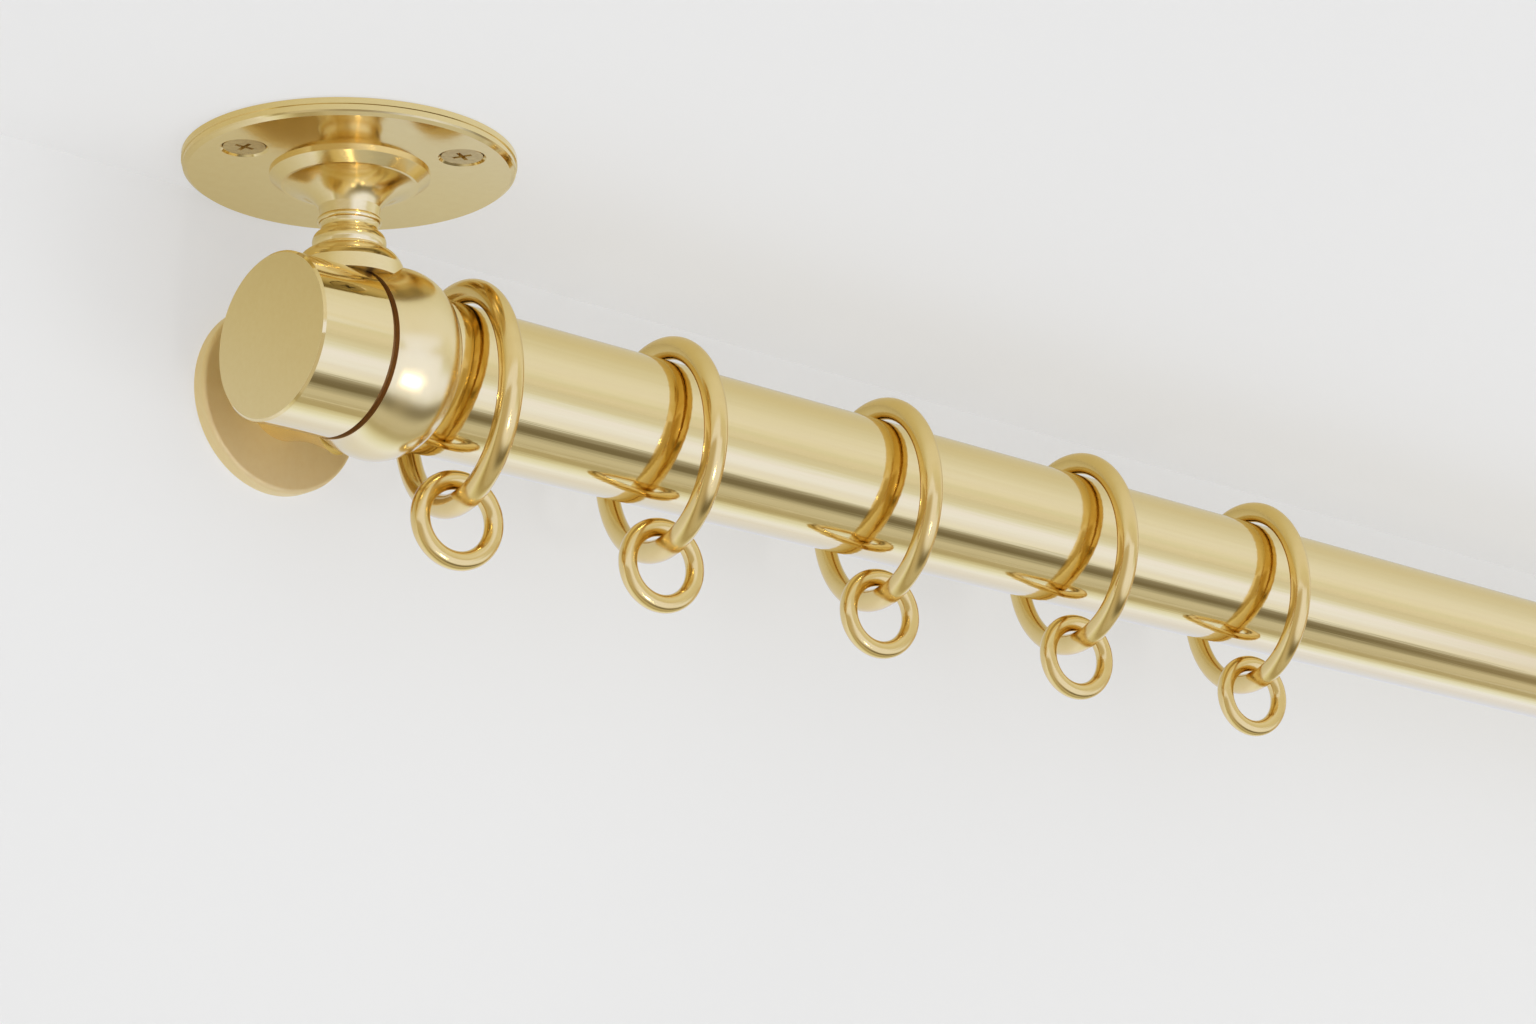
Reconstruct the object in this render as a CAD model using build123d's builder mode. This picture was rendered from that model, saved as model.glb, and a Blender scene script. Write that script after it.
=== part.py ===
from build123d import *
import os

os.makedirs("parts", exist_ok=True)

# A French return curtain pole in polished brass. A tube runs along +X under a
# ceiling, in front of a wall that lies to +Y. At each end a turned stem hangs the
# tube from a round ceiling plate, and a barrel holds it and returns to the wall.
# The origin is the centre of the left ceiling plate, on the ceiling. Millimetres.

# Driving dimensions
SPAN = 600.0
DROP = 38.6
STANDOFF = 32.5
POLE_R = 15.0
POLE_WALL = 1.5

# End plug and the dark joint line beside it
PLUG_HEAD_R = 16.0
PLUG_FACE_X = -17.9
PLUG_SHOULDER_X = -1.9
PLUG_EDGE = 0.45
PLUG_SPIGOT_LENGTH = 26.0
PLUG_FIT = 0.05

# Barrel that holds the tube, and its neck to the wall
BARREL_START_X = -0.8
BARREL_END_X = 14.5
BARREL_RIM_R = 16.1
BARREL_LIP_R = 15.5
BARREL_BELLY_R = 18.5
BARREL_FIT = 0.05
TUBE_START_X = PLUG_SHOULDER_X
RETURN_X = 7.5
RETURN_FOOT_R = 8.6
RETURN_ROOT_Y = 13.0

# Wall disc
WALL_DISC_R = 18.8
WALL_DISC_THICK = 3.0
WALL_DISC_EDGE = 0.9

# Ceiling plate
PLATE_R = 31.5
PLATE_THICK = 3.0
PLATE_FACE_R = 30.3
PLATE_STEP = 0.25
PLATE_SCREW_CIRCLE_R = 23.2
PLATE_SCREW_COUNT = 3
PLATE_SCREW_START_DEG = 175.0

# Stem
STEM_FOOT_R = 15.1
STEM_SPIGOT_R = 4.0
FLANGE_R = 10.2
FLANGE_BOTTOM = 14.1

# Fasteners
STUD_R = 3.0
STUD_FIT = 0.1
STUD_TOP = 26.0
STUD_BOTTOM = 4.0
WALL_STUD_GRIP = 9.0
WALL_STUD_REACH = 33.0
WALL_STUD_POINT = 5.0
WALL_SCREW_R = 2.7
SCREW_HEAD_R = 3.9
SCREW_NECK_R = 2.2
SCREW_SHANK_R = 2.0
SCREW_SUNK = 0.25
SCREW_LENGTH = 30.0
SCREW_POINT = 4.5
COUNTERSINK_R = 4.5
RECESS_LENGTH = 3.8
RECESS_WIDTH = 0.8
RECESS_DEPTH = 1.3

# Curtain rings, each with an eyelet linked through it
RING_R = 20.8
RING_WIRE_R = 2.4
EYELET_R = 7.9
EYELET_WIRE_R = 1.9
HANG_GAP = 0.3
RING_PLACES = [26.5, 79.7, 143.6, 208.8, 274.1]
RING_TWISTS = [-11.4, -11.3, -13.1, -13.4, -15.4]

POLE_Z = -DROP
MIDDLE = Plane.YZ.offset(SPAN / 2)
POLE_AXIS = Axis((0, 0, POLE_Z), (1, 0, 0))
STEM_AXIS = Axis((0, 0, POLE_Z), (0, 0, 1))

# Upright plane through the pole's axis: its x is along the pole, its y is height
# above the pole's axis, and for a stem its x is also the turning radius
PROFILE = Plane(origin=(0, 0, POLE_Z), x_dir=(1, 0, 0), z_dir=(0, -1, 0))


def level(height):
    """The level plane at a height above the pole's axis."""
    return Plane.XY.offset(POLE_Z + height)


def facing_wall(distance):
    """The plane parallel to the wall, in front of the return, that far from the pole."""
    return Plane(origin=(RETURN_X, distance, POLE_Z), x_dir=(1, 0, 0), z_dir=(0, 1, 0))


def keep(part, name):
    """Labels a finished piece and writes it to its own file."""
    part.label = name
    export_step(part, f"parts/{name}.step")


def opposite(part):
    """The other hand of a piece, for the far end of the pole."""
    with BuildPart() as far:
        mirror(part, about=MIDDLE)
    return far.part


# Stud hole, one upright drilling that the stem, barrel, tube and plug share
with BuildPart() as stud_drilling:
    with BuildSketch(level(STUD_BOTTOM)):
        Circle(STUD_R + STUD_FIT)
    extrude(amount=STUD_TOP - STUD_BOTTOM)

# Pole, a plain tube between the shoulders of its two end plugs
with BuildPart() as pole:
    with BuildSketch(Plane.YZ.offset(TUBE_START_X)):
        with Locations((0, POLE_Z)):
            Circle(POLE_R)
            Circle(POLE_R - POLE_WALL, mode=Mode.SUBTRACT)
    extrude(amount=SPAN - 2 * TUBE_START_X)
    add(stud_drilling.part, mode=Mode.SUBTRACT)
    add(opposite(stud_drilling.part), mode=Mode.SUBTRACT)

# End plug: a flat-faced head with a spigot inside the tube
with BuildPart() as end_plug:
    with BuildSketch(PROFILE):
        with BuildLine():
            Polyline(
                (PLUG_FACE_X, 0),
                (PLUG_FACE_X, PLUG_HEAD_R - PLUG_EDGE),
                (PLUG_FACE_X + PLUG_EDGE, PLUG_HEAD_R),
                (PLUG_SHOULDER_X - PLUG_EDGE / 2, PLUG_HEAD_R),
                (PLUG_SHOULDER_X, PLUG_HEAD_R - PLUG_EDGE / 2),
                (PLUG_SHOULDER_X, POLE_R - POLE_WALL - PLUG_FIT),
                (PLUG_SPIGOT_LENGTH, POLE_R - POLE_WALL - PLUG_FIT),
                (PLUG_SPIGOT_LENGTH, 0),
                close=True,
            )
        make_face()
    revolve(axis=POLE_AXIS)
    add(stud_drilling.part, mode=Mode.SUBTRACT)

# Outer form of the barrel, without its bore
with BuildPart() as barrel_form:
    with BuildSketch(PROFILE):
        with BuildLine():
            Line((BARREL_START_X, 0), (BARREL_START_X, BARREL_RIM_R))
            Spline(
                (BARREL_START_X, BARREL_RIM_R),
                (3.4, 17.4),
                (8.0, BARREL_BELLY_R),
                (12.2, 17.6),
                (BARREL_END_X, BARREL_LIP_R),
                tangents=[(1, 0.12), (0.35, -1)],
            )
            Line((BARREL_END_X, BARREL_LIP_R), (BARREL_END_X, 0))
            Line((BARREL_END_X, 0), (BARREL_START_X, 0))
        make_face()
    revolve(axis=POLE_AXIS)

# Barrel, bored for the tube, with a neck that sweeps out to the wall disc
with BuildPart() as barrel:
    add(barrel_form.part)
    with BuildSketch(facing_wall(RETURN_ROOT_Y)):
        Ellipse(7.0, 15.0)
    with BuildSketch(facing_wall(22.5)):
        Ellipse(7.7, 10.4)
    with BuildSketch(facing_wall(STANDOFF - WALL_DISC_THICK)):
        Circle(RETURN_FOOT_R)
    loft()
    with BuildSketch(Plane.YZ.offset(BARREL_START_X)):
        with Locations((0, POLE_Z)):
            Circle(POLE_R + BARREL_FIT)
    extrude(amount=2 * BARREL_END_X, mode=Mode.SUBTRACT)
    with BuildSketch(facing_wall(STANDOFF - WALL_DISC_THICK - WALL_STUD_GRIP)):
        Circle(STUD_R + STUD_FIT)
    extrude(amount=WALL_STUD_GRIP, mode=Mode.SUBTRACT)
    add(stud_drilling.part, mode=Mode.SUBTRACT)

# Stem, turned, its flange hollowed below to seat over the plug's head and the barrel
with BuildPart() as stem:
    with BuildSketch(PROFILE):
        with BuildLine():
            Polyline(
                (0, FLANGE_BOTTOM),
                (0, DROP - 0.3),
                (STEM_SPIGOT_R, DROP - 0.3),
                (STEM_SPIGOT_R, DROP - PLATE_THICK),
                (STEM_FOOT_R, DROP - PLATE_THICK),
                (STEM_FOOT_R, 35.0),
                (12.9, 33.3),
                (12.3, 33.3),
            )
            ThreePointArc((12.3, 33.3), (8.4, 31.6), (5.8, 28.8))
            Line((5.8, 28.8), (5.4, 26.9))
            ThreePointArc((5.4, 26.9), (6.05, 26.3), (5.6, 25.6))
            ThreePointArc((5.6, 25.6), (5.4, 24.6), (5.7, 23.6))
            Line((5.7, 23.6), (6.3, 23.5))
            ThreePointArc((6.3, 23.5), (6.95, 22.1), (6.7, 20.7))
            Line((6.7, 20.7), (7.2, 20.3))
            ThreePointArc((7.2, 20.3), (9.1, 18.9), (FLANGE_R, 16.9))
            Polyline((FLANGE_R, 16.9), (FLANGE_R, FLANGE_BOTTOM), (0, FLANGE_BOTTOM))
        make_face()
    revolve(axis=STEM_AXIS)
    add(barrel_form.part, mode=Mode.SUBTRACT)
    with BuildSketch(Plane.YZ.offset(PLUG_FACE_X)):
        with Locations((0, POLE_Z)):
            Circle(PLUG_HEAD_R)
    extrude(amount=2 * abs(PLUG_FACE_X), mode=Mode.SUBTRACT)
    add(stud_drilling.part, mode=Mode.SUBTRACT)

# Stud that draws the stem down on the barrel and pins tube and plug together
with BuildPart() as stem_stud:
    with BuildSketch(level(STUD_BOTTOM)):
        Circle(STUD_R)
    extrude(amount=STUD_TOP - STUD_BOTTOM)
    chamfer(stem_stud.edges().filter_by(GeomType.CIRCLE), length=0.5)

# Ceiling plate, with a stepped and bevelled rim and countersunk screw holes
with BuildPart() as ceiling_plate:
    with BuildSketch(PROFILE):
        with BuildLine():
            Polyline(
                (STEM_SPIGOT_R + PLUG_FIT, DROP),
                (PLATE_R, DROP),
                (PLATE_R, DROP - 1.1),
                (PLATE_R - PLATE_STEP, DROP - 1.2),
                (PLATE_R - PLATE_STEP, DROP - 2.2),
                (PLATE_R - 2 * PLATE_STEP, DROP - 2.5),
                (PLATE_FACE_R, DROP - PLATE_THICK),
                (STEM_SPIGOT_R + PLUG_FIT, DROP - PLATE_THICK),
                close=True,
            )
        make_face()
    revolve(axis=STEM_AXIS)
    with BuildSketch(PROFILE) as countersink_profile:
        with BuildLine():
            Polyline(
                (0, DROP - PLATE_THICK),
                (COUNTERSINK_R, DROP - PLATE_THICK),
                (SCREW_NECK_R + STUD_FIT, DROP - PLATE_THICK + COUNTERSINK_R - SCREW_NECK_R - STUD_FIT),
                (SCREW_NECK_R + STUD_FIT, DROP),
                (0, DROP),
                close=True,
            )
        make_face()
    with PolarLocations(PLATE_SCREW_CIRCLE_R, PLATE_SCREW_COUNT, start_angle=PLATE_SCREW_START_DEG):
        add(revolve(countersink_profile.sketch, axis=STEM_AXIS, mode=Mode.PRIVATE), mode=Mode.SUBTRACT)

# One countersunk wood screw with a cross recess, head down
HEAD_HEIGHT = DROP - PLATE_THICK + SCREW_SUNK
with BuildPart() as wood_screw:
    with BuildSketch(PROFILE):
        with BuildLine():
            Polyline(
                (0, HEAD_HEIGHT),
                (SCREW_HEAD_R, HEAD_HEIGHT),
                (SCREW_HEAD_R, HEAD_HEIGHT + 0.2),
                (SCREW_NECK_R, HEAD_HEIGHT + 0.2 + SCREW_HEAD_R - SCREW_NECK_R),
                (SCREW_NECK_R, DROP),
                (SCREW_SHANK_R, DROP),
                (SCREW_SHANK_R, HEAD_HEIGHT + SCREW_LENGTH - SCREW_POINT),
                (0, HEAD_HEIGHT + SCREW_LENGTH),
                close=True,
            )
        make_face()
    revolve(axis=STEM_AXIS)
    with BuildSketch(level(HEAD_HEIGHT)):
        Rectangle(RECESS_LENGTH, RECESS_WIDTH)
        Rectangle(RECESS_WIDTH, RECESS_LENGTH)
    extrude(amount=RECESS_DEPTH, taper=12, mode=Mode.SUBTRACT)

# The screws of one ceiling plate
with BuildPart() as ceiling_screws:
    with PolarLocations(PLATE_SCREW_CIRCLE_R, PLATE_SCREW_COUNT, start_angle=PLATE_SCREW_START_DEG):
        add(wood_screw.part)

# Wall disc, plain, with a rounded edge and a hole for its stud
with BuildPart() as wall_disc:
    with BuildSketch(facing_wall(STANDOFF - WALL_DISC_THICK)):
        Circle(WALL_DISC_R)
        Circle(STUD_R + STUD_FIT, mode=Mode.SUBTRACT)
    extrude(amount=WALL_DISC_THICK)
    fillet(wall_disc.edges().filter_by(GeomType.CIRCLE).group_by(Axis.Y)[0].sort_by(SortBy.RADIUS)[-1], WALL_DISC_EDGE)

# Hanger stud: a machine end in the neck, a screw end with a point in the wall
with BuildPart() as wall_stud:
    with BuildSketch(facing_wall(STANDOFF - WALL_DISC_THICK - WALL_STUD_GRIP)):
        Circle(STUD_R)
    extrude(amount=WALL_STUD_GRIP + WALL_DISC_THICK)
    with BuildSketch(facing_wall(STANDOFF)):
        Circle(WALL_SCREW_R)
    extrude(amount=WALL_STUD_REACH)
    with BuildSketch(facing_wall(STANDOFF + WALL_STUD_REACH)):
        Circle(WALL_SCREW_R)
    extrude(amount=WALL_STUD_POINT, taper=26)

keep(pole.part, "pole")
LEFT_PIECES = {
    "end_plug": end_plug,
    "barrel": barrel,
    "stem": stem,
    "stem_stud": stem_stud,
    "ceiling_plate": ceiling_plate,
    "ceiling_screws": ceiling_screws,
    "wall_disc": wall_disc,
    "wall_stud": wall_stud,
}
for name, piece in LEFT_PIECES.items():
    keep(piece.part, f"{name}_left")
    keep(opposite(piece.part), f"{name}_right")

# Rings hang on the pole with a hair of clearance, a little twisted about the
# vertical, and each eyelet hangs inside the bottom of its ring
RING_Z = POLE_Z + POLE_R + HANG_GAP - (RING_R - RING_WIRE_R)
WIRE_Z = RING_Z - RING_R
EYELET_Z = WIRE_Z - (EYELET_R - EYELET_WIRE_R - RING_WIRE_R - HANG_GAP)
for number, (place, twist) in enumerate(zip(RING_PLACES, RING_TWISTS), start=1):
    with BuildPart() as ring:
        with Locations(Location((place, 0, RING_Z), (0, 0, twist))):
            Torus(RING_R, RING_WIRE_R, rotation=(0, 90, 0))
    keep(ring.part, f"ring_{number}")
    with BuildPart() as eyelet:
        with Locations(Location((place, 0, EYELET_Z), (0, 0, twist))):
            Torus(EYELET_R, EYELET_WIRE_R, rotation=(90, 0, 0))
    keep(eyelet.part, f"eyelet_{number}")
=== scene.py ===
"""A French return curtain pole in polished brass, under a ceiling and returned to the wall."""
import math
import bpy
from mathutils import Matrix, Vector


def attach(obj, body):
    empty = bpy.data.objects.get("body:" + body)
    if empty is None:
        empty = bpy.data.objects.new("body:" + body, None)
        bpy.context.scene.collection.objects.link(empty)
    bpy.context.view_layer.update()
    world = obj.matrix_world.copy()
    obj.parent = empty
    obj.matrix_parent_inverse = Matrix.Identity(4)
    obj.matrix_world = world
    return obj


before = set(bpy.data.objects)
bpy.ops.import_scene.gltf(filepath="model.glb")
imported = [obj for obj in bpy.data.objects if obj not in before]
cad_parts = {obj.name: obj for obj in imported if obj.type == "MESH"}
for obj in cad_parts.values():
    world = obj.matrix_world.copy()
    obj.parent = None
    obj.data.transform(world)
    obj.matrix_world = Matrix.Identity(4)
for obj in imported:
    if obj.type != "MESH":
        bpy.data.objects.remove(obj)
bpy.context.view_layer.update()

MM = 0.001
X, Y, Z = 0, 1, 2

# Driving sizes of the rod, whose origin is the centre of the left ceiling plate
DROP = 38.6 * MM
STANDOFF = 32.5 * MM
SPAN = 600 * MM
RETURN_X = 7.5 * MM

# How far beyond each stem's axis the joint line beside the end plug starts and ends
JOINT_INNER = 0.75 * MM
JOINT_OUTER = 1.95 * MM


def paint(code):
    """An sRGB hex colour as linear RGBA."""
    parts = [int(code[i:i + 2], 16) / 255 for i in (1, 3, 5)]
    linear = [c / 12.92 if c <= 0.04045 else ((c + 0.055) / 1.055) ** 2.4 for c in parts]
    return (*linear, 1.0)


def add(tree, kind, settings=None, links=None):
    """Adds a node; settings go to its own values or its inputs, links join other sockets to inputs."""
    made = tree.nodes.new(kind)
    for key, value in (settings or {}).items():
        if isinstance(key, str) and hasattr(made, key):
            setattr(made, key, value)
        else:
            made.inputs[key].default_value = value
    for key, socket in (links or {}).items():
        tree.links.new(socket, made.inputs[key])
    return made


def blank(name):
    """A new material with an empty node tree and its output node."""
    made = bpy.data.materials.new(name)
    made.use_nodes = True
    made.node_tree.nodes.clear()
    return made, made.node_tree, made.node_tree.nodes.new("ShaderNodeOutputMaterial")


def banded(tree, value, stops, unit=1.0):
    """A colour that follows a value through stops of (place, colour), places counted in units."""
    first, last = stops[0][0], stops[-1][0]
    share = add(tree, "ShaderNodeMapRange", {"From Min": first * unit, "From Max": last * unit},
                {"Value": value})
    bands = add(tree, "ShaderNodeValToRGB", None, {0: share.outputs[0]})
    while len(bands.color_ramp.elements) < len(stops):
        bands.color_ramp.elements.new(1.0)
    for element, (at, colour) in zip(bands.color_ramp.elements, stops):
        element.position = (at - first) / (last - first)
        element.color = (*colour, 1.0)
    return bands.outputs[0]


# The camera looks up at the left bracket from the room. Yaw turns it from the wall towards
# the far end of the pole, pitch lifts it and roll tips it, in radians
LENS_MM = 80.0
SENSOR_MM = 36.0
YAW = 0.794333
PITCH = 0.265156
ROLL = -0.022512
EYE = Vector((-0.3768, -0.4786, -0.1961 - DROP))
forward = Vector((math.sin(YAW) * math.cos(PITCH), math.cos(YAW) * math.cos(PITCH), math.sin(PITCH)))
level_right = Vector((math.cos(YAW), -math.sin(YAW), 0))
level_up = level_right.cross(forward)
right = math.cos(ROLL) * level_right + math.sin(ROLL) * level_up
up = math.cos(ROLL) * level_up - math.sin(ROLL) * level_right
camera = bpy.data.objects.new("camera", bpy.data.cameras.new("camera"))
camera.data.lens = LENS_MM
camera.data.sensor_width = SENSOR_MM
camera.data.clip_start = 0.05
camera.data.clip_end = 20.0
camera.matrix_world = Matrix((
    (right.x, up.x, -forward.x, EYE.x),
    (right.y, up.y, -forward.y, EYE.y),
    (right.z, up.z, -forward.z, EYE.z),
    (0, 0, 0, 1),
))
bpy.context.scene.collection.objects.link(camera)
bpy.context.scene.camera = camera

# Finishes. The buffing cloth leaves smears about this far apart on every piece
CLOTH_SMEAR = 22.2 * MM
# Pale gold of polished and lacquered brass, and the deeper tone that its marks bring out
POLISHED_PALE = "#F2DEA4"
POLISHED_DEEP = "#EDD698"
# Brass browned in the joint line, with the painted shade of its recess, and how dull it is there
JOINT_SHADE_BROWN = "#C19A62"
JOINT_ROUGHNESS = 0.5
# A face counts as flat across an axis where its normal lies this far along it
NEARLY_FLAT = 0.9
FLAT = 0.98


def satin_faces(tree, place, rough, axis, satin, below):
    """Roughness that turns satin on faces flat across an axis, below a height."""
    facing = add(tree, "ShaderNodeNewGeometry")
    across = add(tree, "ShaderNodeSeparateXYZ", None, {0: facing.outputs["True Normal"]})
    flat = add(tree, "ShaderNodeMath", {"operation": "ABSOLUTE"}, {0: across.outputs[axis]})
    spot = add(tree, "ShaderNodeSeparateXYZ", None, {0: place.outputs["Object"]})
    low = add(tree, "ShaderNodeMath", {"operation": "LESS_THAN", 1: below}, {0: spot.outputs[Z]})
    low_flat = add(tree, "ShaderNodeMath", {"operation": "MULTIPLY"},
                   {0: flat.outputs[0], 1: low.outputs[0]})
    dulled = add(tree, "ShaderNodeMapRange",
                 {"From Min": NEARLY_FLAT, "From Max": FLAT, "To Max": satin},
                 {"Value": low_flat.outputs[0], "To Min": rough})
    return dulled.outputs[0]


def joint_line(tree, place, colour, rough):
    """Colour that browns with painted shade, and roughness that dulls, in the joint line beside each end
    plug.
    """
    spot = add(tree, "ShaderNodeSeparateXYZ", None, {0: place.outputs["Object"]})
    centred = add(tree, "ShaderNodeMath", {"operation": "SUBTRACT", 1: SPAN / 2}, {0: spot.outputs[X]})
    along = add(tree, "ShaderNodeMath", {"operation": "ABSOLUTE"}, {0: centred.outputs[0]})
    beyond = add(tree, "ShaderNodeMath", {"operation": "SUBTRACT", 1: SPAN / 2 + JOINT_INNER},
                 {0: along.outputs[0]})
    inside = add(tree, "ShaderNodeMath", {"operation": "GREATER_THAN", 1: 0.0}, {0: beyond.outputs[0]})
    outside = add(tree, "ShaderNodeMath", {"operation": "LESS_THAN", 1: JOINT_OUTER - JOINT_INNER},
                  {0: beyond.outputs[0]})
    line = add(tree, "ShaderNodeMath", {"operation": "MULTIPLY"},
               {0: inside.outputs[0], 1: outside.outputs[0]})
    # Painted shade of the joint's recess, browning the brass in the joint line
    browned_and_shaded = add(tree, "ShaderNodeMixRGB", {"Color2": paint(JOINT_SHADE_BROWN)},
                  {"Fac": line.outputs[0], "Color1": colour})
    dulled = add(tree, "ShaderNodeMapRange", {"To Max": JOINT_ROUGHNESS},
                 {"Value": line.outputs[0], "To Min": rough})
    return browned_and_shaded.outputs[0], dulled.outputs[0]


def buffed(name, grain, depth, haze, pale=POLISHED_PALE, deep=POLISHED_DEEP, satin=None, joint=False):
    """Metal brought to a shine with a cloth: a soft haze over a clear reflection.

    grain is the spacing in millimetres of the buffing marks along X, Y and Z, and depth how
    far they stand out. Real marks are about a tenth of a millimetre apart, too fine to show,
    so they are drawn coarser. haze is the roughness where the cloth left it clearest and
    dullest. satin is the axis, the roughness and the upper limit of the flat faces that the
    cloth hardly reaches. joint browns the line beside each end plug, where no cloth reaches,
    and paints the shade of its recess there."""
    made, tree, out = blank(name)
    place = add(tree, "ShaderNodeTexCoord")
    marks = add(tree, "ShaderNodeMapping", {"Scale": [1 / (gap * MM) for gap in grain]},
                {"Vector": place.outputs["Object"]})
    lines = add(tree, "ShaderNodeTexNoise", {"Scale": 1.0, "Detail": 3.0, "Roughness": 0.6},
                {"Vector": marks.outputs[0]})
    smear = add(tree, "ShaderNodeTexNoise", {"Scale": 1 / CLOTH_SMEAR, "Detail": 2.0},
                {"Vector": place.outputs["Object"]})
    dull = add(tree, "ShaderNodeMapRange",
               {"From Min": 0.3, "From Max": 0.7, "To Min": haze[0], "To Max": haze[1]},
               {"Value": smear.outputs[0]})
    tone = add(tree, "ShaderNodeMixRGB", {"Color1": paint(pale), "Color2": paint(deep)},
               {"Fac": lines.outputs[0]})
    colour, rough = tone.outputs[0], dull.outputs[0]
    if satin:
        rough = satin_faces(tree, place, rough, *satin)
    if joint:
        colour, rough = joint_line(tree, place, colour, rough)
    bump = add(tree, "ShaderNodeBump", {"Strength": 0.25, "Distance": depth * MM},
               {"Height": lines.outputs[0]})
    metal = add(tree, "ShaderNodeBsdfPrincipled", {"Metallic": 1.0},
                {"Base Color": colour, "Roughness": rough, "Normal": bump.outputs[0]})
    tree.links.new(metal.outputs[0], out.inputs["Surface"])
    return made


# Long clear bands of light, with faint lines drawn along the tube
drawn_tube_brass = buffed("brass tube, drawn and polished lengthways", (60.0, 0.8, 0.8), 0.08,
                          (0.04, 0.09), joint=True)
# Reflections softened round each ring of the turning, and a dull underside to the flange
turned_brass = buffed("brass, turned and buffed", (1.2, 1.2, 0.5), 0.02, (0.13, 0.19),
                      satin=(Z, 0.45, -23 * MM))
# A bright rim round an even gold face that mirrors nothing sharply
plug_brass = buffed("brass, turned, its face left satin", (40.0, 1.0, 1.0), 0.05, (0.04, 0.08),
                    satin=(X, 0.3, 0.0), joint=True)
# A calm mirror, a little blurred, in which the stem can be made out
plate_brass = buffed("brass plate, spun and buffed", (2.0, 2.0, 0.5), 0.02, (0.08, 0.13))
# Nearly even pale gold with no reflection to make out
satin_brass = buffed("brass disc, turned and left satin", (2.0, 0.5, 2.0), 0.02, (0.66, 0.72),
                     "#FCEAB4", "#F7E0A4")
# Cloudy reflections, since a cast ball is buffed by hand
cast_brass = buffed("brass casting, buffed", (6.0, 6.0, 6.0), 0.08, (0.18, 0.26), joint=True)
# A deeper gold, its highlights softened by tumbling
wire_brass = buffed("brass wire, brazed and barrel polished", (5.0, 5.0, 5.0), 0.05, (0.13, 0.19),
                    "#EACF88", "#E3C47A")
# Browner and patchier than the rest, since nothing protects it
screw_brass = buffed("brass screw, bright, unlacquered and a little dull", (1.0, 1.0, 1.0), 0.05,
                     (0.14, 0.24), "#E2CC90", "#B0955E")
# A cool grey that spreads every highlight
plated_steel = buffed("steel, zinc plated", (1.5, 1.5, 1.5), 0.03, (0.28, 0.36), "#C6C6C2", "#AFAFAB")

FINISHES = {
    "pole": drawn_tube_brass,
    "end_plug": plug_brass,
    "barrel": cast_brass,
    "stem": turned_brass,
    "ceiling_plate": plate_brass,
    "ceiling_screws": screw_brass,
    "wall_disc": satin_brass,
    "ring": wire_brass,
    "eyelet": wire_brass,
    "stem_stud": plated_steel,
    "wall_stud": plated_steel,
}
for name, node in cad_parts.items():
    kind = name.rsplit("_", 1)[0]
    node.data.materials.clear()
    node.data.materials.append(FINISHES[kind])

# Threads of the screws that go up into the ceiling and of the studs that go into the wall:
# a ridge wound round each plain shank, thinning out over its point
CEILING_SCREWS = {
    "Count": 3,
    "Circle radius": 23.2 * MM,
    "Root radius": 2.05 * MM,
    "Crest": 0.5 * MM,
    "Turns": 17.0,
    "Length": 24.2 * MM,
    "Point length": 4.6 * MM,
}
CEILING_SCREW_START = {"left": math.radians(175), "right": math.radians(5)}
CEILING_THREAD_START = 2.6 * MM
WALL_STUD = {
    "Count": 1,
    "Circle radius": 0.0,
    "Root radius": 2.75 * MM,
    "Crest": 0.6 * MM,
    "Turns": 15.0,
    "Length": 33.5 * MM,
    "Point length": 4.0 * MM,
}
WALL_THREAD_START = 3.5 * MM
# How far the winding closes in at the tip, as a share of its full radius
THINNEST_SHARE = 0.12

thread_nodes = bpy.data.node_groups.new("screw thread", "GeometryNodeTree")
thread_nodes.interface.new_socket("Thread", in_out="OUTPUT", socket_type="NodeSocketGeometry")
for size_name, socket_type in (
    ("Count", "NodeSocketInt"),
    ("Circle radius", "NodeSocketFloat"),
    ("Start angle", "NodeSocketFloat"),
    ("Root radius", "NodeSocketFloat"),
    ("Crest", "NodeSocketFloat"),
    ("Turns", "NodeSocketFloat"),
    ("Length", "NodeSocketFloat"),
    ("Point length", "NodeSocketFloat"),
    ("Finish", "NodeSocketMaterial"),
):
    thread_nodes.interface.new_socket(size_name, in_out="INPUT", socket_type=socket_type)
THREAD_SOCKETS = {
    item.name: item.identifier
    for item in thread_nodes.interface.items_tree
    if item.in_out == "INPUT"
}
given = add(thread_nodes, "NodeGroupInput")
helix = add(thread_nodes, "GeometryNodeCurveSpiral",
            {"Resolution": 24, "Start Radius": 1.0, "End Radius": 1.0},
            {"Rotations": given.outputs["Turns"], "Height": given.outputs["Length"]})
# Full width along the shank, closing in over the point
where = add(thread_nodes, "GeometryNodeInputPosition")
climbed = add(thread_nodes, "ShaderNodeSeparateXYZ", None, {0: where.outputs[0]})
left_over = add(thread_nodes, "ShaderNodeMath", {"operation": "SUBTRACT"},
                {0: given.outputs["Length"], 1: climbed.outputs[Z]})
closing = add(thread_nodes, "ShaderNodeMath", {"operation": "DIVIDE"},
              {0: left_over.outputs[0], 1: given.outputs["Point length"]})
share_left = add(thread_nodes, "ShaderNodeClamp", {"Min": THINNEST_SHARE, "Max": 1.0},
                 {"Value": closing.outputs[0]})
radius = add(thread_nodes, "ShaderNodeMath", {"operation": "MULTIPLY"},
             {0: share_left.outputs[0], 1: given.outputs["Root radius"]})
spread = add(thread_nodes, "ShaderNodeCombineXYZ", {2: 1.0}, {0: radius.outputs[0], 1: radius.outputs[0]})
wrapped = add(thread_nodes, "ShaderNodeVectorMath", {"operation": "MULTIPLY"},
              {0: where.outputs[0], 1: spread.outputs[0]})
wound = add(thread_nodes, "GeometryNodeSetPosition", None,
            {"Geometry": helix.outputs[0], "Position": wrapped.outputs[0]})
upright = add(thread_nodes, "GeometryNodeSetCurveNormal", {"mode": "Z_UP"}, {0: wound.outputs[0]})
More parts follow.
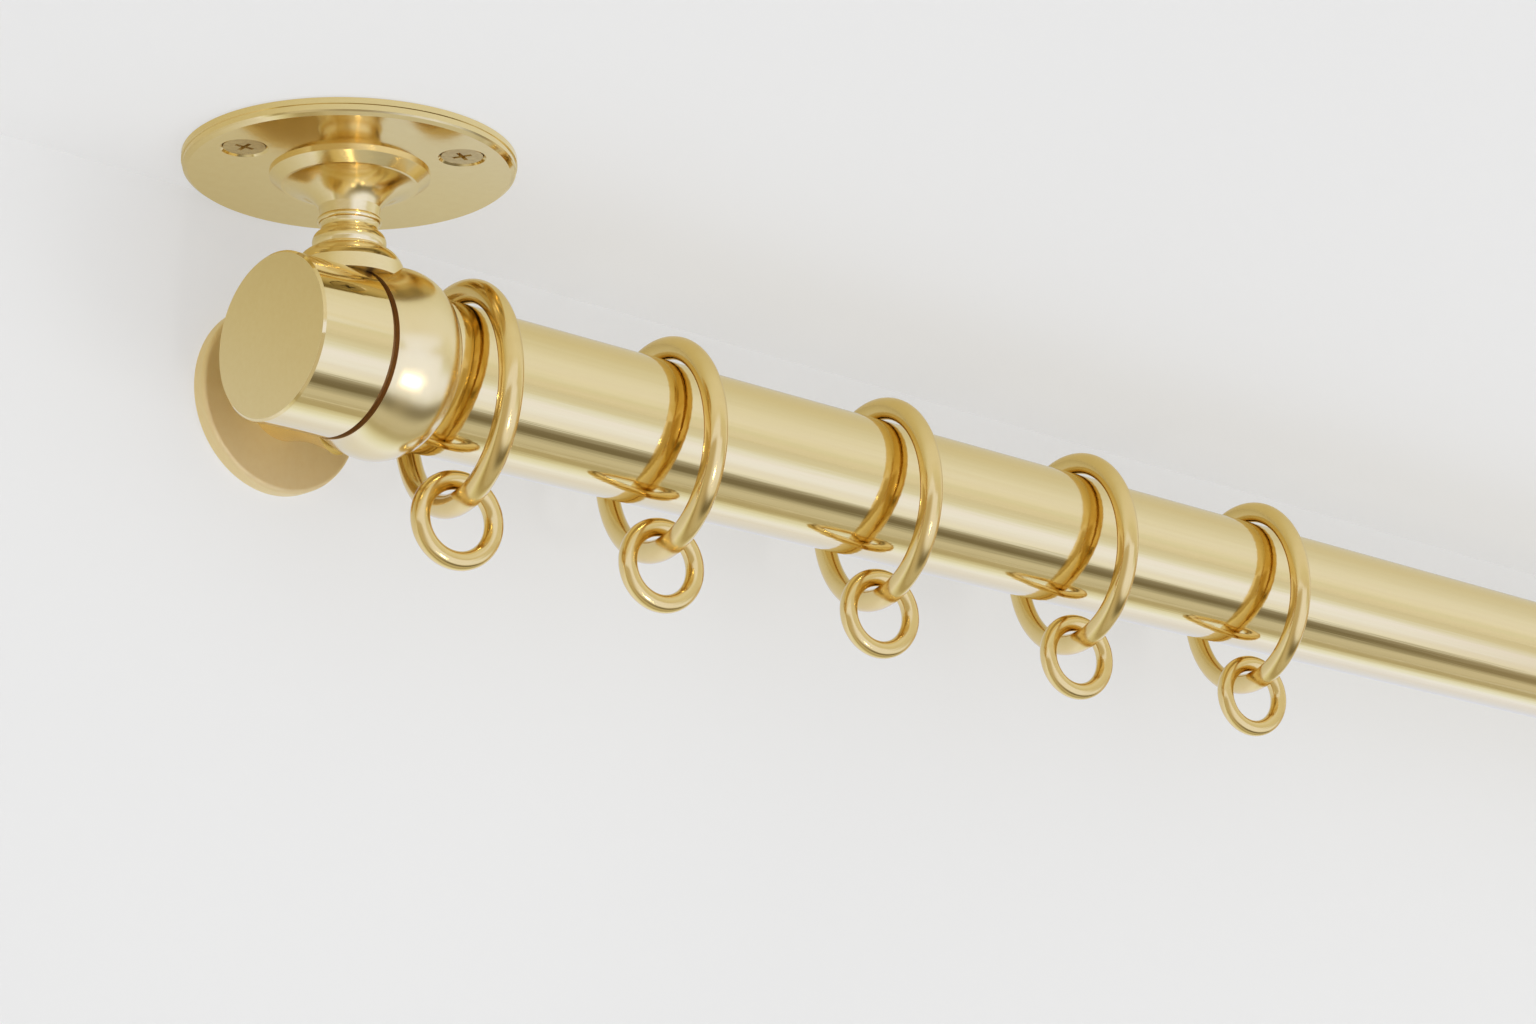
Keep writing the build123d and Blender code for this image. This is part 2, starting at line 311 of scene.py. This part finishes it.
crest = add(thread_nodes, "GeometryNodeCurvePrimitiveCircle", {"mode": "RADIUS", "Resolution": 3},
            {"Radius": given.outputs["Crest"]})
ridge = add(thread_nodes, "GeometryNodeCurveToMesh", {"Fill Caps": True},
            {"Curve": upright.outputs[0], "Profile Curve": crest.outputs[0]})
# One point for each screw, spaced evenly round the circle from the start angle
number = add(thread_nodes, "GeometryNodeInputIndex")
turns_on = add(thread_nodes, "ShaderNodeMath", {"operation": "MULTIPLY", 1: math.tau},
               {0: number.outputs[0]})
spaced = add(thread_nodes, "ShaderNodeMath", {"operation": "DIVIDE"},
             {0: turns_on.outputs[0], 1: given.outputs["Count"]})
bearing = add(thread_nodes, "ShaderNodeMath", {"operation": "ADD"},
              {0: spaced.outputs[0], 1: given.outputs["Start angle"]})
cosine = add(thread_nodes, "ShaderNodeMath", {"operation": "COSINE"}, {0: bearing.outputs[0]})
sine = add(thread_nodes, "ShaderNodeMath", {"operation": "SINE"}, {0: bearing.outputs[0]})
spoke = add(thread_nodes, "ShaderNodeCombineXYZ", None, {0: cosine.outputs[0], 1: sine.outputs[0]})
on_circle = add(thread_nodes, "ShaderNodeVectorMath", {"operation": "SCALE"},
                {0: spoke.outputs[0], "Scale": given.outputs["Circle radius"]})
places = add(thread_nodes, "GeometryNodePoints", None,
             {"Count": given.outputs["Count"], "Position": on_circle.outputs[0]})
each = add(thread_nodes, "GeometryNodeInstanceOnPoints", None,
           {"Points": places.outputs[0], "Instance": ridge.outputs[0]})
real = add(thread_nodes, "GeometryNodeRealizeInstances", None, {0: each.outputs[0]})
finished = add(thread_nodes, "GeometryNodeSetMaterial", None,
               {"Geometry": real.outputs[0], "Material": given.outputs["Finish"]})
add(thread_nodes, "NodeGroupOutput", None, {0: finished.outputs[0]})


def thread(name, sizes, start_angle, finish, place):
    """Threads of one piece's screws as a plain mesh, wound up Z and then put in place."""
    made = bpy.data.objects.new(name, bpy.data.meshes.new(name))
    bpy.context.scene.collection.objects.link(made)
    winding = made.modifiers.new("winding", "NODES")
    winding.node_group = thread_nodes
    for size_name, value in {**sizes, "Start angle": start_angle, "Finish": finish}.items():
        winding[THREAD_SOCKETS[size_name]] = value
    solid = bpy.data.meshes.new_from_object(made.evaluated_get(bpy.context.evaluated_depsgraph_get()))
    made.modifiers.remove(winding)
    solid.transform(place)
    made.data = solid
    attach(made, "pole_and_brackets")


INTO_WALL = Matrix.Rotation(-math.pi / 2, 4, "X")
for side, stem_x, inward in (("left", 0.0, 1), ("right", SPAN, -1)):
    over_plate = Matrix.Translation((stem_x, 0, CEILING_THREAD_START))
    behind_disc = Matrix.Translation((stem_x + inward * RETURN_X, STANDOFF + WALL_THREAD_START, -DROP))
    thread(f"ceiling_screw_threads_{side}", CEILING_SCREWS, CEILING_SCREW_START[side],
           screw_brass, over_plate)
    thread(f"wall_stud_thread_{side}", WALL_STUD, 0.0, plated_steel, behind_disc @ INTO_WALL)

# The room: a ceiling and a wall that show only from the room's side. Colours of light are
# linear, because they stand for brightness and some go past white
BACKDROP_WHITE = "#E9E9E9"
EMULSION_WHITE = "#F0F0F0"
WINDOW_LIGHT = (0.96, 1.07, 1.70, 1.0)
# Painted shade round the near bracket, which dims the glint there
NEAR_BRACKET_DIM = (0.92, 0.86, 0.72, 1.0)
# How much of the plaster is the backdrop's white to the camera, and painted glint to the metal
PALE_SHARE = 0.62
GLINT_SHARE = 0.88
# Where a change over the plaster starts and ends, in metres along X or Y
NEAR_BRACKET_X = (-0.06, 0.03)
WINDOW_GLINT_X = (0.09, 0.05)
WINDOW_GLINT_Y = (-0.10, -0.14)


def plaster(name, axis, glint):
    """Matt white emulsion on plaster, seen from the room's side only, with a painted glow that only metal
    sees.

    glint is a list of (metres along the axis, brightness) that metal sees in it: the room's light
    and shade painted onto each part of it, darker towards the corner. Round the near bracket, at negative
    X, painted shade makes it dimmer."""
    made, tree, out = blank(name)
    place = add(tree, "ShaderNodeTexCoord")
    side = add(tree, "ShaderNodeNewGeometry")
    ray = add(tree, "ShaderNodeLightPath")
    spot = add(tree, "ShaderNodeSeparateXYZ", None, {0: place.outputs["Object"]})
    near = add(tree, "ShaderNodeMapRange",
               {"From Min": NEAR_BRACKET_X[0], "From Max": NEAR_BRACKET_X[1]},
               {"Value": spot.outputs[X]})
    # Painted shade dims the glint round the near bracket
    dim = add(tree, "ShaderNodeMixRGB", {"Color1": NEAR_BRACKET_DIM, "Color2": paint("#FFFFFF")},
              {"Fac": near.outputs[0]})
    lent = add(tree, "ShaderNodeMixRGB", {"blend_type": "MULTIPLY", "Fac": 1.0},
               {"Color1": banded(tree, spot.outputs[axis], glint), "Color2": dim.outputs[0]})
    # Painted light of the tall window's head, on the ceiling out in the room and left of the view along
    # the pole
    left = add(tree, "ShaderNodeMapRange",
               {"From Min": WINDOW_GLINT_X[0], "From Max": WINDOW_GLINT_X[1]},
               {"Value": spot.outputs[X]})
    out_in = add(tree, "ShaderNodeMapRange",
                 {"From Min": WINDOW_GLINT_Y[0], "From Max": WINDOW_GLINT_Y[1]},
                 {"Value": spot.outputs[Y]})
    head = add(tree, "ShaderNodeMath", {"operation": "MULTIPLY"},
               {0: left.outputs[0], 1: out_in.outputs[0]})
    bright = add(tree, "ShaderNodeMixRGB", {"Color2": WINDOW_LIGHT},
                 {"Fac": head.outputs[0], "Color1": lent.outputs[0]})
    # A painted glow of the room's light and shade, which only metal sees
    glow = add(tree, "ShaderNodeEmission", {"Strength": 1.0}, {"Color": bright.outputs[0]})
    matt = add(tree, "ShaderNodeBsdfDiffuse", {"Color": paint(EMULSION_WHITE)})
    pale = add(tree, "ShaderNodeEmission", {"Color": paint(BACKDROP_WHITE), "Strength": 1.0})
    # The camera sees the backdrop's white with the rod's faint shadow on it, and metal the painted glint
    seen = add(tree, "ShaderNodeMixShader", {0: PALE_SHARE}, {1: matt.outputs[0], 2: pale.outputs[0]})
    shine = add(tree, "ShaderNodeMixShader", {0: GLINT_SHARE}, {1: matt.outputs[0], 2: glow.outputs[0]})
    eye = add(tree, "ShaderNodeMixShader", None,
              {0: ray.outputs["Is Camera Ray"], 1: matt.outputs[0], 2: seen.outputs[0]})
    metal = add(tree, "ShaderNodeMixShader", None,
                {0: ray.outputs["Is Glossy Ray"], 1: eye.outputs[0], 2: shine.outputs[0]})
    clear = add(tree, "ShaderNodeBsdfTransparent")
    both = add(tree, "ShaderNodeMixShader", None,
               {0: side.outputs["Backfacing"], 1: metal.outputs[0], 2: clear.outputs[0]})
    tree.links.new(both.outputs[0], out.inputs["Surface"])
    return made


def slab(name, corners, material):
    """A flat stage surface through four corners, facing as they turn."""
    mesh = bpy.data.meshes.new(name)
    mesh.from_pydata(corners, [], [(0, 1, 2, 3)])
    mesh.materials.append(material)
    made = bpy.data.objects.new(name, mesh)
    bpy.context.scene.collection.objects.link(made)


# Painted glints that metal mirrors in the ceiling and the wall: bright bands of painted light, and
# painted shade that darkens them towards the corner
ceiling_paint_and_glint = plaster("ceiling emulsion, painted glint", Y, [
    (-0.725, (0.71, 0.72, 0.76)),
    (-0.240, (0.78, 0.79, 0.87)),
    (-0.142, (0.77, 0.81, 0.87)),
    (-0.100, (0.85, 0.89, 1.05)),
    (-0.070, (0.86, 0.91, 1.14)),
    (-0.045, (0.84, 0.89, 1.06)),
    (-0.024, (0.75, 0.77, 0.78)),
    (-0.010, (0.70, 0.68, 0.57)),
    (0.004, (0.67, 0.64, 0.51)),
    (0.014, (0.66, 0.63, 0.51)),
    (0.033, (0.60, 0.58, 0.50)),
])
wall_paint_and_glint = plaster("wall emulsion, painted glint", Z, [
    (-0.70, (0.60, 0.60, 0.60)),
    (-0.514, (0.46, 0.43, 0.36)),
    (-0.220, (0.43, 0.40, 0.29)),
    (-0.157, (0.72, 0.76, 0.76)),
    (-0.121, (0.89, 1.02, 1.30)),
    (-0.100, (0.95, 1.08, 1.65)),
    (-0.080, (0.83, 0.90, 1.26)),
    (-0.060, (0.77, 0.84, 1.10)),
    (-0.020, (0.66, 0.66, 0.62)),
    (0.0, (0.56, 0.54, 0.46)),
])

# A hair of air parts the ceiling and the wall from the rod's own faces
GAP = 0.2 * MM
WALL_Y = STANDOFF + GAP
ROOM_LEFT = -1.2
ROOM_RIGHT = 2.4
ROOM_FRONT = -1.5
ROOM_FLOOR = -1.6
slab("ceiling", [
    (ROOM_LEFT, ROOM_FRONT, GAP),
    (ROOM_LEFT, WALL_Y, GAP),
    (ROOM_RIGHT, WALL_Y, GAP),
    (ROOM_RIGHT, ROOM_FRONT, GAP),
], ceiling_paint_and_glint)
slab("wall", [
    (ROOM_LEFT, WALL_Y, ROOM_FLOOR),
    (ROOM_RIGHT, WALL_Y, ROOM_FLOOR),
    (ROOM_RIGHT, WALL_Y, GAP),
    (ROOM_LEFT, WALL_Y, GAP),
], wall_paint_and_glint)

# The room beyond, as polished metal sees it: angles turn about the pole in degrees, from the
# room's horizon at 0 to the ceiling at 90, and down to the floor at -90
ROOM_BANDS = [
    (-180, (0.77, 0.84, 1.13)),
    (-142, (0.83, 0.90, 1.26)),
    (-130, (0.95, 1.08, 1.65)),
    (-120, (0.89, 1.02, 1.30)),
    (-111, (0.72, 0.76, 0.76)),
    (-103, (0.43, 0.40, 0.29)),
    (-95, (0.46, 0.43, 0.36)),
    (-87, (0.61, 0.61, 0.61)),
    (-80, (0.63, 0.63, 0.64)),
    (-74, (0.42, 0.42, 0.40)),
    (-68, (0.19, 0.17, 0.13)),
    (-62, (0.21, 0.19, 0.16)),
    (-55, (0.40, 0.40, 0.42)),
    (-50, (0.90, 0.98, 1.30)),
    (-41, (0.88, 0.96, 1.40)),
    (-34, (0.93, 1.05, 1.65)),
    (-22, (0.95, 1.06, 1.72)),
    (-15, (0.84, 0.94, 1.25)),
    (-8, (0.75, 0.79, 0.88)),
    (3, (0.70, 0.71, 0.75)),
    (9, (0.78, 0.79, 0.87)),
    (15, (0.77, 0.81, 0.87)),
    (22, (0.85, 0.89, 1.05)),
    (40, (0.83, 0.89, 1.08)),
    (180, (0.76, 0.78, 0.78)),
]
# Where a change in the room starts and ends: as a share of the way along the pole, and the
# window's sill in the degrees above
PANE_LEFT = (-0.65, -0.35)
PANE_RIGHT = (0.56, 0.38)
PANE_SILL = (-58, -42)
NEAR_END = (-0.8, 0.1)
FAR_END = (0.80, 0.95)
NEAR_END_LIGHT = (0.60, 0.56, 0.50, 1.0)
FAR_END_LIGHT = (0.66, 0.58, 0.46, 1.0)

world = bpy.data.worlds.new("room")
world.use_nodes = True
bpy.context.scene.world = world
air = world.node_tree
air.nodes.clear()
way = add(air, "ShaderNodeTexCoord")
heading = add(air, "ShaderNodeSeparateXYZ", None, {0: way.outputs["Generated"]})
toward_room = add(air, "ShaderNodeMath", {"operation": "MULTIPLY", 1: -1.0}, {0: heading.outputs[Y]})
turn = add(air, "ShaderNodeMath", {"operation": "ARCTAN2"},
           {0: heading.outputs[Z], 1: toward_room.outputs[0]})
bands = banded(air, turn.outputs[0], ROOM_BANDS, math.radians(1))
# A tall window straight across the room from the bracket: only round pieces catch it
pane_left = add(air, "ShaderNodeMapRange", {"From Min": PANE_LEFT[0], "From Max": PANE_LEFT[1]},
                {"Value": heading.outputs[X]})
pane_right = add(air, "ShaderNodeMapRange", {"From Min": PANE_RIGHT[0], "From Max": PANE_RIGHT[1]},
                 {"Value": heading.outputs[X]})
pane_sill = add(air, "ShaderNodeMapRange",
                {"From Min": math.radians(PANE_SILL[0]), "From Max": math.radians(PANE_SILL[1])},
                {"Value": turn.outputs[0]})
pane_width = add(air, "ShaderNodeMath", {"operation": "MULTIPLY"},
                 {0: pane_left.outputs[0], 1: pane_right.outputs[0]})
pane = add(air, "ShaderNodeMath", {"operation": "MULTIPLY"},
           {0: pane_width.outputs[0], 1: pane_sill.outputs[0]})
# Past each end of the pole the room is plain and a little dimmer
near_end = add(air, "ShaderNodeMapRange", {"From Min": NEAR_END[0], "From Max": NEAR_END[1]},
               {"Value": heading.outputs[X]})
past_near = add(air, "ShaderNodeMixRGB", {"Color1": NEAR_END_LIGHT},
                {"Fac": near_end.outputs[0], "Color2": bands})
with_pane = add(air, "ShaderNodeMixRGB", {"Color2": WINDOW_LIGHT},
                {"Fac": pane.outputs[0], "Color1": past_near.outputs[0]})
far_end = add(air, "ShaderNodeMapRange", {"From Min": FAR_END[0], "From Max": FAR_END[1]},
              {"Value": heading.outputs[X]})
past_far = add(air, "ShaderNodeMixRGB", {"Color2": FAR_END_LIGHT},
               {"Fac": far_end.outputs[0], "Color1": with_pane.outputs[0]})
# Metal sees the room, the camera the plain backdrop, and everything else an even soft light
path = add(air, "ShaderNodeLightPath")
seen_room = add(air, "ShaderNodeBackground", {"Strength": 1.0}, {"Color": past_far.outputs[0]})
soft_light = add(air, "ShaderNodeBackground", {"Color": paint("#FFFFFF"), "Strength": 0.8})
backdrop = add(air, "ShaderNodeBackground", {"Color": paint(BACKDROP_WHITE), "Strength": 1.0})
for_metal = add(air, "ShaderNodeMixShader", None,
                {0: path.outputs["Is Glossy Ray"], 1: soft_light.outputs[0], 2: seen_room.outputs[0]})
for_camera = add(air, "ShaderNodeMixShader", None,
                 {0: path.outputs["Is Camera Ray"], 1: for_metal.outputs[0], 2: backdrop.outputs[0]})
add(air, "ShaderNodeOutputWorld", None, {"Surface": for_camera.outputs[0]})


def lamp(name, kind, energy, location, target):
    """A lamp in its place, turned on its target."""
    made = bpy.data.objects.new(name, bpy.data.lights.new(name, kind))
    made.data.energy = energy
    made.location = location
    made.rotation_mode = "QUATERNION"
    made.rotation_quaternion = (Vector(target) - made.location).to_track_quat("-Z", "Y")
    bpy.context.scene.collection.objects.link(made)
    return made


# A broad soft window lamp from the room, low and to the right
window = lamp("window", "AREA", 6.0, (0.9, -1.2, -0.9), (0.1, 0, -DROP))
window.data.shape = "RECTANGLE"
window.data.size = 1.0
window.data.size_y = 0.8
window.visible_glossy = False

# A narrow soft lamp turned on the wall disc of the near bracket
lantern = lamp("lantern", "SPOT", 14.0, (-0.07, -0.64, -0.47), (RETURN_X, STANDOFF, -DROP))
lantern.data.shadow_soft_size = 0.13
lantern.data.spot_size = math.radians(7.5)
lantern.data.spot_blend = 0.6

bpy.context.scene.view_settings.view_transform = "Standard"
